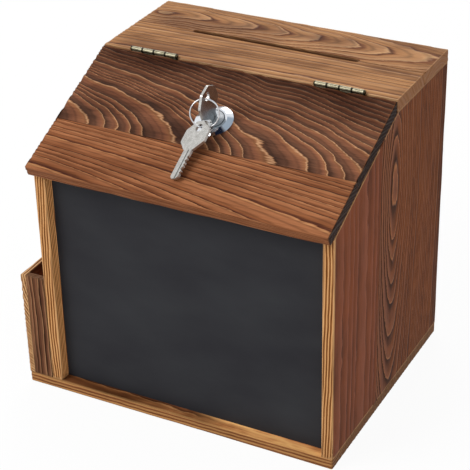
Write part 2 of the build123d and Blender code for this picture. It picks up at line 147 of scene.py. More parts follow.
# What every board has, with its sizes in mm:
# grain, across, face: the directions of its grain, across the grain, and of its best face
# finish: its look, one of WOODS
# steps: the steps of its mesh along and across the grain
# relief: how deep it is brushed
# heart: how far across, and how deep under the board, the tree's heart lay
# nearest: where along the grain the heart came nearest to the board
# tilt: how much deeper the heart lay for each mm along the grain
# ring: the width of a year's ring
# waver: how far the rings waver, and over what length
# seed: where its noise starts
# What some have:
# ripple: how far the rings ripple, in rings
# sub: the number of fine lines in a ring
# glued: the side across the grain, 1 or -1, that is glued to the next board
# strip: how wide the inner face is left unburnt, and brightened with painted light, along the
# board's first edge
# strip_from: how far along the grain that strip begins
BOARDS = {
    "lid_upper_board": dict(
        grain=RIGHT, across=UP_SLOPE, face=OUT_OF_LID, finish="lid_dark", steps=(1.6, 0.9),
        relief=0.55, heart=(-41, 10), nearest=-400, tilt=0.15, ring=2.4, waver=(3.2, 55), seed=3,
        sub=2, glued=-1,
    ),
    "lid_lower_board": dict(
        grain=RIGHT, across=UP_SLOPE, face=OUT_OF_LID, finish="lid_red", steps=(2.4, 0.9),
        relief=0.42, heart=(-46, 85), nearest=-140, tilt=0.05, ring=2.3, waver=(0.7, 150), seed=11,
        sub=2, glued=1, ripple=0.22,
    ),
    "top_front_board": dict(
        grain=RIGHT, across=BACK, face=UP, finish="top", steps=(3.0, 0.9),
        relief=0.3, heart=(-90, 60), nearest=60, tilt=0.03, ring=4.2, waver=(0.8, 120), seed=5,
        sub=1, glued=1, ripple=0.3,
    ),
    "top_rear_board": dict(
        grain=RIGHT, across=BACK, face=UP, finish="top", steps=(2.0, 1.0),
        relief=0.26, heart=(2, 6), nearest=-105, tilt=0.11, ring=3.2, waver=(2.6, 45), seed=8,
        sub=2, glued=-1,
    ),
    "right_side_front_board": dict(
        grain=UP, across=BACK, face=RIGHT, finish="side_plain", steps=(3.0, 1.1),
        relief=0.1, heart=(-75, 30), nearest=40, tilt=0.04, ring=9.0, waver=(1.0, 140), seed=21,
        sub=6, strip=9.5, glued=1,
    ),
    "right_side_rear_board": dict(
        grain=UP, across=BACK, face=RIGHT, finish="side_rear", steps=(3.0, 1.0),
        relief=0.22, heart=(-36, 8.8), nearest=55, tilt=0.12, ring=2.6, waver=(1.8, 90), seed=26,
        sub=2, glued=-1,
    ),
    "left_side_front_board": dict(
        grain=UP, across=BACK, face=-RIGHT, finish="side_plain", steps=(3.0, 1.1),
        relief=0.12, heart=(-72, 28), nearest=-60, tilt=0.05, ring=9.0, waver=(0.9, 140), seed=31,
        sub=6, strip=9.5, glued=1,
    ),
    "left_side_rear_board": dict(
        grain=UP, across=BACK, face=-RIGHT, finish="side_rear", steps=(3.0, 1.1),
        relief=0.22, heart=(-90, 30), nearest=20, tilt=0.05, ring=4.4, waver=(3.0, 100), seed=36,
        sub=2, glued=-1,
    ),
    "back_lower_board": dict(
        grain=RIGHT, across=UP, face=BACK, finish="side", steps=(3.0, 1.1),
        relief=0.22, heart=(-12, 12), nearest=30, tilt=0.11, ring=3.1, waver=(2.6, 80), seed=41,
        sub=2, glued=1,
    ),
    "back_upper_board": dict(
        grain=RIGHT, across=UP, face=BACK, finish="side", steps=(3.0, 1.1),
        relief=0.22, heart=(-95, 40), nearest=-40, tilt=0.05, ring=4.2, waver=(2.2, 90), seed=46,
        sub=2, glued=-1,
    ),
    "base_board": dict(
        grain=RIGHT, across=BACK, face=-UP, finish="base", steps=(3.0, 1.2),
        relief=0.22, heart=(-98, 30), nearest=-160, tilt=0.012, ring=2.9, waver=(0.8, 140), seed=51,
        sub=1, strip=12.0, strip_from=10,
    ),
    "pocket_outer_wall": dict(
        grain=BACK, across=UP, face=-RIGHT, finish="pocket_outer", steps=(3.0, 0.9),
        relief=0.45, heart=(45, 45), nearest=-40, tilt=0.03, ring=2.3, waver=(1.8, 80), seed=56,
        sub=1,
    ),
    "pocket_front_wall": dict(
        grain=UP, across=RIGHT, face=-BACK, finish="pocket", steps=(2.0, 0.7),
        relief=0.2, heart=(-40, 16), nearest=0, tilt=0.06, ring=3.4, waver=(1.6, 50), seed=61,
        sub=2,
    ),
    "pocket_back_wall": dict(
        grain=UP, across=RIGHT, face=BACK, finish="pocket", steps=(2.0, 0.7),
        relief=0.2, heart=(-34, 16), nearest=10, tilt=0.06, ring=2.4, waver=(1.6, 50), seed=66,
        sub=2,
    ),
    "lock_rail": dict(
        grain=RIGHT, across=UP_SLOPE, face=OUT_OF_LID, finish="bare", steps=(6.0, 1.5),
        relief=0.08, heart=(-30, 20), nearest=0, tilt=0.04, ring=3.0, waver=(1.2, 90), seed=71,
    ),
}
# What the others have instead
UNLESS_GIVEN = dict(ripple=0.55, sub=1, glued=0, strip=0, strip_from=-1000)

BOARD_GROUPS = {
    "lid": ("lid_upper_board", "lid_lower_board"),
    "top": ("top_front_board", "top_rear_board"),
    "sides": (
        "right_side_front_board", "right_side_rear_board",
        "left_side_front_board", "left_side_rear_board",
    ),
    "back": ("back_lower_board", "back_upper_board"),
    "base": ("base_board",),
    "pocket": ("pocket_outer_wall", "pocket_front_wall", "pocket_back_wall"),
    "rail": ("lock_rail",),
}


# Points of a CAD mesh that are this near to each other, in metres, are one point
SAME_POINT = 2e-6
# Faces that meet at less than the first angle are one face before they are cut, and those
# that meet at more than the second keep a sharp edge between them
FLAT = math.radians(0.5)
SHARP = math.radians(40)
# A cut goes through points that are this near to it, in metres
ON_CUT = 1e-6
# Steps through a board's thickness, as a multiple of those across its grain
THICK_STEP = 1.5


def cut_across(work, faces, direction, places):
    """Cuts faces along planes square to a direction, halving the stretch each time."""
    if not places:
        return faces
    middle = len(places) // 2
    ties = {edge for face in faces for edge in face.edges}
    points = {point for face in faces for point in face.verts}
    found = bmesh.ops.bisect_plane(
        work, geom=[*points, *ties, *faces], dist=ON_CUT,
        plane_co=direction * places[middle], plane_no=direction,
    )
    below, above = [], []
    for item in found["geom"]:
        if isinstance(item, bmesh.types.BMFace):
            side = item.calc_center_median().dot(direction) < places[middle]
            (below if side else above).append(item)
    return (
        cut_across(work, below, direction, places[:middle])
        + cut_across(work, above, direction, places[middle + 1:])
    )


def board_mesh(name):
    """A fine mesh of a board: its CAD solid cut into small cells along and across the grain,
    and its middle and half sizes in the board's own directions."""
    board = BOARDS[name]
    work = bmesh.new()
    work.from_mesh(frame["nodes"][name].data)
    bmesh.ops.remove_doubles(work, verts=work.verts, dist=SAME_POINT)
    bmesh.ops.dissolve_limit(
        work, angle_limit=FLAT, verts=work.verts, edges=work.edges,
        use_dissolve_boundaries=False, delimit=set(),
    )
    middle, half = Vector(), []
    coarse = 1
    faces = list(work.faces)
    directions = (board["face"], board["grain"], board["across"])
    step_along, step_across = board["steps"]
    steps = (step_across * THICK_STEP, step_along, step_across)
    for direction, step in zip(directions, steps):
        reach = [point.co.dot(direction) for point in work.verts]
        low, high = min(reach), max(reach)
        middle += direction * (low + high) / 2
        half.append((high - low) / 2)
        count = max(1, round((high - low) / (step * MM * coarse)))
        places = [low + (high - low) * i / count for i in range(1, count)]
        faces = cut_across(work, faces, direction, places)
    mesh = bpy.data.meshes.new(name + "_grain")
    work.to_mesh(mesh)
    work.free()
    mesh.polygons.foreach_set("use_smooth", [True] * len(mesh.polygons))
    mesh.set_sharp_from_angle(angle=SHARP)
    deep, along, across = half
    return mesh, middle, Vector((along, across, deep))


# The noise that moves the heart changes half as fast across the board as along it, and
# seldom strays more than a quarter from its middle, so four times that is the whole waver
WAVER_STRETCH = (1.0, 0.5, 0.5)
WAVER_GAIN = 4.0
# Where the heart comes nearest to the board, its line is rounded off by this much
HEART_BEND = 1.5 * MM
# Wide and narrow years alternate over about three rings, and move a ring by up to 1.5
YEAR_PACE = 0.37
YEAR_DRIFT = 1.5
# The ripples in the rings are 14 mm long and 8 mm wide
RIPPLE = (14.2857, 8.3333, 8.3333)
# Where in a ring, from 0 to 1, its hard wood rises, and where it falls off again
RISE = {1: 0.2, 2: 0.8}
FALL = {1: 0.9, 2: 1.0, 3: 1.0, 4: 0.0}
# The paper slot's walls reach this deep into the glued side and stay this far off the ends
CUT_DEPTH = 4 * MM
CUT_END_GAP = 30 * MM
# How far along the grain the unburnt strip takes to begin
STRIP_START = 30 * MM
# The cosines of a face's turn from the best face's direction, below which it counts as an
# inner one, and either way as a wall
INNER_TURN = -0.5
WALL_TURN = 0.6


def ring_nodes(tree, source, place, along, across, deep):
    """The year's ring at each point, counted from the heart, and the fine line."""
    # The heart wavers to the side along the board
    inverse = add(tree, MATHS, {0: 1.0, 1: source["Waver length"]}, operation="DIVIDE")
    stretched = add(tree, VECTOR, {0: place, 1: WAVER_STRETCH}, operation="MULTIPLY")
    bend = add(tree, NOISE, {
        "Vector": stretched, "W": source["Seed"], "Scale": inverse, "Detail": 1.0,
    }, noise_dimensions="4D")
    centred = add(tree, MATHS, {0: bend, 1: 0.5}, operation="SUBTRACT")
    sway = add(tree, MATHS, {0: centred, 1: source["Waver"]}, operation="MULTIPLY")
    swayed = add(tree, MATHS, {0: sway, 1: WAVER_GAIN, 2: across}, operation="MULTIPLY_ADD")
    aside = add(tree, MATHS, {0: swayed, 1: source["Heart across"]}, operation="SUBTRACT")

    # It lies nearest to the board at one place and runs deeper to both sides of it
    away = add(tree, MATHS, {0: along, 1: source["Heart nearest"]}, operation="SUBTRACT")
    deeper = add(tree, MATHS, {0: away, 1: source["Heart tilt"]}, operation="MULTIPLY")
    bent = add(tree, JOINED, {0: deeper, 1: HEART_BEND})
    rounded = add(tree, VECTOR, {0: bent}, out="Value", operation="LENGTH")
    under = add(tree, MATHS, {0: rounded, 1: source["Heart depth"]}, operation="ADD")
    below = add(tree, MATHS, {0: under, 1: deep}, operation="ADD")
    from_heart = add(tree, JOINED, {0: aside, 1: below})
    radius = add(tree, VECTOR, {0: from_heart}, out="Value", operation="LENGTH")

    # Rings, of uneven width and with small ripples
    even = add(tree, MATHS, {0: radius, 1: source["Ring width"]}, operation="DIVIDE")
    years = add(tree, MATHS, {0: even, 1: YEAR_PACE, 2: source["Seed"]}, operation="MULTIPLY_ADD")
    uneven = add(tree, NOISE, {"W": years, "Scale": 1.0, "Detail": 0.0}, noise_dimensions="1D")
    spaced = add(tree, MATHS, {0: uneven, 1: YEAR_DRIFT, 2: even}, operation="MULTIPLY_ADD")
    grained = add(tree, VECTOR, {0: place, 1: per_metre(RIPPLE)}, operation="MULTIPLY")
    waves = add(tree, NOISE, {
        "Vector": grained, "W": source["Seed"], "Scale": 1.0, "Detail": 1.0,
    }, noise_dimensions="4D")
    ripple = add(tree, MATHS, {0: waves, 1: source["Ripple"]}, operation="MULTIPLY")
    rings = add(tree, MATHS, {0: ripple, 1: spaced}, operation="ADD")

    # The fine lines keep to the even rings
    lines = add(tree, MATHS, {
        0: even, 1: source["Fine lines"], 2: ripple,
    }, operation="MULTIPLY_ADD")
    return rings, lines


def edge_nodes(tree, source, place, across):
    """How near an edge of the board each point is, and 1 where it is at the glued side."""
    # The second smallest distance to the board's faces
    size = add(tree, VECTOR, {0: place}, operation="ABSOLUTE")
    inside = add(tree, VECTOR, {0: source["Half size"], 1: size}, operation="SUBTRACT")
    to_end, to_side, to_face = add(tree, PARTS, {0: inside}, out=slice(None))
    least = add(tree, MATHS, {0: to_end, 1: to_side}, operation="MINIMUM")
    most = add(tree, MATHS, {0: to_end, 1: to_side}, operation="MAXIMUM")
    other = add(tree, MATHS, {0: most, 1: to_face}, operation="MINIMUM")
    corner = add(tree, MATHS, {0: least, 1: other}, operation="MAXIMUM")

    # A sloping end has an edge too
    from_slope = add(tree, VECTOR, {
        0: source["Slope point"], 1: add(tree, "GeometryNodeInputPosition"),
    }, operation="SUBTRACT")
    above_slope = add(tree, VECTOR, {0: from_slope, 1: source["Slope normal"]}, **DOT)
    slope_gap = add(tree, MATHS, {0: above_slope}, operation="ABSOLUTE")
    to_slope = add(tree, MATHS, {0: slope_gap, 1: to_face}, operation="MAXIMUM")
    nearest = add(tree, MATHS, {0: corner, 1: to_slope}, operation="MINIMUM")

    # The glued side has none, so its points count as a metre farther off
    half_across = add(tree, PARTS, {0: source["Half size"]}, out=1)
    glued = add(tree, MATHS, {0: across, 1: source["Glued side"]}, operation="MULTIPLY")
    side_gap = add(tree, MATHS, {0: half_across, 1: glued}, operation="SUBTRACT")
    at_glue = add(tree, MATHS, {0: side_gap, 1: CUT_DEPTH}, operation="LESS_THAN")
    to_edge = add(tree, MATHS, {0: at_glue, 1: nearest}, operation="ADD")
    return to_edge, at_glue


def face_nodes(tree, source, along, across, normal, at_glue):
    """How far each point's face is a broad one and one of end grain, and 1 where it lies in
    the unburnt strip (brightened with painted light) and where it lies on a wall of the paper slot
    (darkened with painted shade)."""
    half_along, half_across = add(tree, PARTS, {0: source["Half size"]}, out=slice(2))
    facing, end_on = (
        add(tree, VECTOR, {0: normal, 1: source[side]}, **DOT)
        for side in ("Face", "Grain")
    )
    broad = add(tree, MATHS, {0: facing}, operation="ABSOLUTE")
    end_grain = add(tree, MATHS, {0: end_on}, operation="ABSOLUTE")

    # The unburnt strip of the inner face along the board's first edge
    from_first = add(tree, MATHS, {0: across, 1: half_across}, operation="ADD")
    in_strip = add(tree, MATHS, {0: from_first, 1: source["Bare strip"]}, operation="LESS_THAN")
    inner = add(tree, MATHS, {0: facing, 1: INNER_TURN}, operation="LESS_THAN")
    full = add(tree, MATHS, {0: source["Strip from"], 1: STRIP_START}, operation="ADD")
    begun = add(tree, SPREAD, {0: along, 1: source["Strip from"], 2: full})
    strip = add(tree, MATHS, {0: in_strip, 1: inner}, operation="MULTIPLY")
    bare = add(tree, MATHS, {0: strip, 1: begun}, operation="MULTIPLY")

    # Walls of a cut at the glued side, away from the board's ends, which get painted shade
    wall = add(tree, MATHS, {0: broad, 1: WALL_TURN}, operation="LESS_THAN")
    length = add(tree, MATHS, {0: along}, operation="ABSOLUTE")
    end_gap = add(tree, MATHS, {0: half_along, 1: length}, operation="SUBTRACT")
    off_end = add(tree, MATHS, {0: end_gap, 1: CUT_END_GAP}, operation="GREATER_THAN")
    cut = add(tree, MATHS, {0: at_glue, 1: wall}, operation="MULTIPLY")
    slot_shade = add(tree, MATHS, {0: cut, 1: off_end}, operation="MULTIPLY")
    return broad, end_grain, bare, slot_shade


# The kind of socket that takes each kind of value
SOCKET_FOR = {
    Vector: "NodeSocketVector", float: "NodeSocketFloat",
    bpy.types.Material: "NodeSocketMaterial",
}


def board_tree(values):
    """The rule for a brushed board: year's rings round a heart that runs askew under the
    board, whose soft wood is brushed away so that the hard wood stands proud. It leaves
    each point's ring, its place in the board and how near an edge it is for the finish."""
    tree = bpy.data.node_groups.new("brushed_board", "GeometryNodeTree")
    for side in ("INPUT", "OUTPUT"):
        tree.interface.new_socket("Geometry", in_out=side, socket_type="NodeSocketGeometry")
    for name, value in values.items():
        tree.interface.new_socket(name, in_out="INPUT", socket_type=SOCKET_FOR[type(value)])
    source = tree.nodes.new("NodeGroupInput").outputs

    position = add(tree, "GeometryNodeInputPosition")
    normal = add(tree, "GeometryNodeInputNormal")
    offset = add(tree, VECTOR, {0: position, 1: source["Middle"]}, operation="SUBTRACT")
    along, across, deep = (
        add(tree, VECTOR, {0: offset, 1: source[side]}, **DOT)
        for side in ("Grain", "Across", "Face")
    )
    place = add(tree, JOINED, {0: along, 1: across, 2: deep})
    rings, lines = ring_nodes(tree, source, place, along, across, deep)
    to_edge, at_glue = edge_nodes(tree, source, place, across)
    broad, end_grain, bare, slot_shade = face_nodes(tree, source, along, across, normal, at_glue)

    # Hard late wood at the end of each ring stands proud of the brushed soft wood
    share = add(tree, MATHS, {0: rings}, operation="FRACT")
    rise = add(tree, SPREAD, {0: share, **RISE}, **SMOOTH)
    fall = add(tree, SPREAD, {0: share, **FALL}, **SMOOTH)
    ridge = add(tree, MATHS, {0: rise, 1: fall}, operation="MULTIPLY")
    worn = add(tree, MATHS, {0: ridge, 1: 1.0}, operation="SUBTRACT")
    depth = add(tree, MATHS, {0: worn, 1: source["Relief"]}, operation="MULTIPLY")

    # Only faces that look away from the board's middle are brushed
    outward = add(tree, VECTOR, {0: normal, 1: offset}, **DOT)
    brushed = add(tree, MATHS, {0: outward, 1: 0.0}, operation="GREATER_THAN")
    lowered = add(tree, MATHS, {0: depth, 1: brushed}, operation="MULTIPLY")
    inward = add(tree, VECTOR, {0: normal, "Scale": lowered}, operation="SCALE")

    geometry = source["Geometry"]
    kept = (
        ("rings", "FLOAT", rings), ("grain_place", "FLOAT_VECTOR", place),
        ("to_edge", "FLOAT", to_edge), ("broad", "FLOAT", broad),
        ("end_grain", "FLOAT", end_grain), ("lines", "FLOAT", lines),
        ("bare", "FLOAT", bare), ("slot_shade", "FLOAT", slot_shade),
    )
    for name, kind, value in kept:
        geometry = add(tree, "GeometryNodeStoreNamedAttribute", {
            "Geometry": geometry, "Name": name, "Value": value,
        }, data_type=kind, domain="POINT")
    shaped = add(tree, "GeometryNodeSetPosition", {"Geometry": geometry, "Offset": inward})
    real = add(tree, "GeometryNodeRealizeInstances", {"Geometry": shaped})
    dressed = add(tree, "GeometryNodeSetMaterial", {
        "Geometry": real, "Material": source["Finish"],
    })
    add(tree, "NodeGroupOutput", {"Geometry": dressed})
    return tree


def new_object(name, data):
    """A new object in the scene."""
    made = bpy.data.objects.new(name, data)
    bpy.context.scene.collection.objects.link(made)
    return made


def grown(mesh, tree, values, name):
    """A plain mesh object: what a tree of nodes makes of a mesh with these inputs."""
    carrier = new_object(name + "_carrier", mesh)
    modifier = carrier.modifiers.new("shape", "NODES")
    modifier.node_group = tree
    for item in tree.interface.items_tree:
        if item.in_out == "INPUT" and item.name in values:
            modifier[item.identifier] = values[item.name]
    depsgraph = bpy.context.evaluated_depsgraph_get()
    made = bpy.data.meshes.new_from_object(
        carrier.evaluated_get(depsgraph), preserve_all_data_layers=True, depsgraph=depsgraph,
    )
    carrier.modifiers.remove(modifier)
    bpy.data.objects.remove(carrier)
    made.name = name
    return new_object(name, made)


def stand_for(piece, node):
    """The piece takes a CAD node's place and body: the node is hidden and the piece joins its body.
    """
    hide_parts(node)
    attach(piece, BODY_OF[node])


def make_board(name, finish):
    """Builds one brushed board and puts it in its CAD node's place."""
    board = {**UNLESS_GIVEN, **BOARDS[name]}
    mesh, middle, half = board_mesh(name)
    values = {
        "Grain": board["grain"], "Across": board["across"], "Face": board["face"],
        "Middle": middle, "Half size": half,
        "Heart across": board["heart"][0] * MM, "Heart depth": board["heart"][1] * MM,
        "Heart nearest": board["nearest"] * MM, "Heart tilt": board["tilt"],
        "Ring width": board["ring"] * MM, "Waver": board["waver"][0] * MM,
        "Waver length": board["waver"][1] * MM, "Ripple": board["ripple"],
        "Relief": board["relief"] * MM * bpy.context.scene.suggestion_box.relief,
        "Fine lines": float(board["sub"]), "Bare strip": board["strip"] * MM,
        "Strip from": board["strip_from"] * MM, "Glued side": float(board["glued"]),
        "Slope point": SLOPE_POINT if name in BOARD_GROUPS["sides"] else FAR_ABOVE,
        "Slope normal": OUT_OF_LID,
        "Seed": float(board["seed"]), "Finish": finish,
    }
    tree = bpy.data.node_groups.get("brushed_board") or board_tree(values)
    piece = grown(mesh, tree, values, name + "_wood")
    bpy.data.meshes.remove(mesh)
    stand_for(piece, name)


# Torched and brushed softwood: flamed until the soft early wood chars, then wire-brushed
# and waxed. It gives the eye brown bands that end each in a lighter, raised hard line.
# The bare look is the same wood as it was sawn: pale, with faint bands.
# bands: the colours through a year's ring
# edge: the colours of the stripes on narrow faces, of which the last shows on rubbed edges
# plain, fade: the colour that the bands fade to, and how far they fade
# burnt, burn: the colour that burning leaves, and how strong it is
# burn_across: on some, between which places across the board it grows stronger, in mm
# lines: how dark the fine lines are
# worn_edge, worn_face: how far the edges are rubbed, and narrow faces left unburnt
# end: how far end grain is darkened, and its colour
WOODS = {
    "lid_dark": dict(
        bands=(
            (0, "#40281e"), (0.28, "#624030"), (0.7, "#8c583f"), (0.88, "#a26b46"),
            (0.94, "#dcab80"), (0.975, "#a06f4c"), (1, "#40281e"),
        ),
        edge=((0, "#3a2116"), (0.5, "#8a5433"), (1, "#a0663e")),
        plain="#775039", burnt="#6e5c50", fade=0.35, lines=0.22, burn=0.5, burn_across=(0, 34),
        worn_edge=0.3, worn_face=0.7, end=(0.95, "#1c110c"),
    ),
    "lid_red": dict(
        bands=(
            (0, "#3a180c"), (0.07, "#51271a"), (0.2, "#86502f"), (0.55, "#9a6240"),
            (0.85, "#a66c47"), (0.94, "#c08a5c"), (0.975, "#7a482c"), (1, "#3a180c"),
        ),
        edge=((0, "#5a2f1a"), (0.5, "#7d4c2f"), (1, "#94603e")),
        plain="#8c5639", burnt="#8a6a58", fade=0.12, lines=0.3, burn=0.4,
        worn_edge=0.25, worn_face=0.5, end=(0.93, "#1f130d"),
    ),
    "top": dict(
        bands=(
            (0, "#5c3320"), (0.1, "#7b4d30"), (0.24, "#a57449"), (0.8, "#b18053"),
            (0.93, "#c99b6a"), (0.975, "#8f6040"), (1, "#5c3320"),
        ),
        edge=((0, "#a9764c"), (0.5, "#c99a6c"), (1, "#d8ae82")),
        plain="#a2704a", burnt="#846656", fade=0.2, lines=0.3, burn=0.6,
        worn_edge=0.5, worn_face=0.75, end=(0.8, "#80502f"),
    ),
    "side": dict(
        bands=(
            (0, "#2d1407"), (0.16, "#4e2811"), (0.5, "#7d431e"), (0.86, "#8c4c23"),
            (0.95, "#b67239"), (0.98, "#703d1d"), (1, "#2d1407"),
        ),
        edge=((0, "#5f3213"), (0.35, "#96602f"), (0.7, "#ba8556"), (1, "#cf9d70")),
        plain="#6f3d1d", burnt="#7c5d46", fade=0.35, lines=0.16, burn=0.3,
        worn_edge=0.8, worn_face=0.95, end=(0.5, "#45240f"),
    ),
    "side_plain": dict(
        bands=(
            (0, "#512813"), (0.2, "#6d391c"), (0.6, "#804424"), (0.88, "#8c4827"),
            (0.96, "#a2582c"), (1, "#562a15"),
        ),
        edge=((0, "#4a2409"), (0.3, "#7c4a20"), (0.62, "#bd8550"), (1, "#d6a672")),
        plain="#7d3f1e", burnt="#88634a", fade=0.9, lines=0.08, burn=0.25,
        worn_edge=0.8, worn_face=0.97, end=(0.5, "#45240f"),
    ),
    "base": dict(
        bands=(
            (0, "#4a2717"), (0.2, "#744427"), (0.6, "#8f5a36"), (0.88, "#a46c40"),
            (0.96, "#c48e5c"), (1, "#55301c"),
        ),
        edge=((0, "#5a3016"), (0.35, "#8f5c36"), (0.7, "#b07c4c"), (1, "#c4965e")),
        plain="#875636", burnt="#6d5242", fade=0.3, lines=0.25, burn=0.8,
        worn_edge=0.4, worn_face=0.8, end=(0.5, "#4f3121"),
    ),
    "pocket": dict(
        bands=(
            (0, "#33190d"), (0.2, "#553421"), (0.55, "#7a4f36"), (0.85, "#946648"),
            (0.95, "#bd9068"), (1, "#3a2115"),
        ),
        edge=((0, "#5d371c"), (0.4, "#9a6a3e"), (0.7, "#c08e58"), (1, "#d2a56f")),
        plain="#6f4830", burnt="#7b5f4e", fade=0.1, lines=0.3, burn=0.5,
        worn_edge=0.12, worn_face=0.7, end=(0.8, "#4a2e20"),
    ),
    "pocket_outer": dict(
        bands=(
            (0, "#4b2c1c"), (0.3, "#8a5f42"), (0.6, "#a87654"), (0.88, "#b88660"),
            (0.96, "#d0a27c"), (1, "#4f301f"),
        ),
        edge=((0, "#54301a"), (0.4, "#8c5e3a"), (0.6, "#cc9c68"), (1, "#deb482")),
        plain="#976848", burnt="#83695a", fade=0.1, lines=0.3, burn=0.3,
        worn_edge=0.3, worn_face=0.85, end=(0.0, "#3e2a1f"),
    ),
    "bare": dict(
        bands=(
            (0, "#a87c50"), (0.2, "#c9a274"), (0.6, "#d3ae80"), (0.88, "#d9b88c"),
            (0.96, "#c79d69"), (1, "#a87c50"),
        ),
        edge=((0, "#b98d5e"), (1, "#d3ae80")),
        plain="#cda577", burnt="#d8c4a8", fade=0.3, lines=0.06, burn=0.2,
        worn_edge=0.0, worn_face=0.0, end=(0.3, "#b08a60"),
    ),
}


# The sides' rear boards are burnt darker along their rear edge
WOODS["side_rear"] = dict(WOODS["side"], burn_across=(51, 57))

# Fibres, in mm along, across and deep: real ones are finer, and would not show
FIBRE = (25, 1, 1)
# The patches in which the bands fade and the burning grows, in the same way
PATCH = (62.5, 20, 20)
# How far the fibres shift the bands, in rings, and the fine lines, in lines
BAND_SHIFT = 0.22
LINE_SHIFT = 0.5
# These turn the values from 1 to 2 into those from 3 to 4. From the patches' noise: how far
# the bands fade, how strong the burning is, and how far edges are rubbed
FADING = {1: 0.35, 2: 0.7, 3: 0.05}
BURNING = {1: 0.62, 2: 0.38}
PATCHY = {1: 0.35, 2: 0.55, 3: 0.5, 4: 1.0}
# From the distance to a fine line, and from the fibres' noise: how light the wood is
LINE_LIGHT = {2: 0.28, 4: 1.04}
FIBRE_LIGHT = {1: 0.25, 2: 0.75, 3: 0.78, 4: 1.2}
# From the distance to an edge: how far it is rubbed
RUBBING = {1: 0.4 * MM, 2: 1.5 * MM, 4: 0.0}
# From a face's turn from the broad one: how far it is left unburnt
NARROW = {1: 0.5, 2: 0.2}
# How much lighter the stripes are in the unburnt strip: paler bare wood, and painted light on an
# inner face that the lamps barely reach
STRIP_PAINTED_LIGHT = {3: 1.0, 4: 1.7}
# From the place in a ring: how high its ridge stands, and how rough the waxed wood is
RIDGE = {1: 0.1, 2: 0.9}
WAX_ROUGH = {3: 0.62, 4: 0.44}
# How strong the burning towards an edge gets, and how far its border wanders
EDGE_BURN = 0.6
BURN_WANDER = 30 * MM
# How far painted shade darkens the walls of the paper slot, and its colour
SLOT_SHADE_AMOUNT = 0.85
SLOT_SHADE_COLOUR = "#3f1e12"
# The height of a ring's ridge, that of the fibres as a share of it, and how much of both
# the eye sees
GRAIN_HEIGHT = 0.4 * MM
FIBRE_HEIGHT = 0.4
GRAIN_STRENGTH = 0.55
# Wax on a brushed and charred surface, which leaves little gloss
WAXED = {"IOR": 1.5, "Specular IOR Level": 0.05}


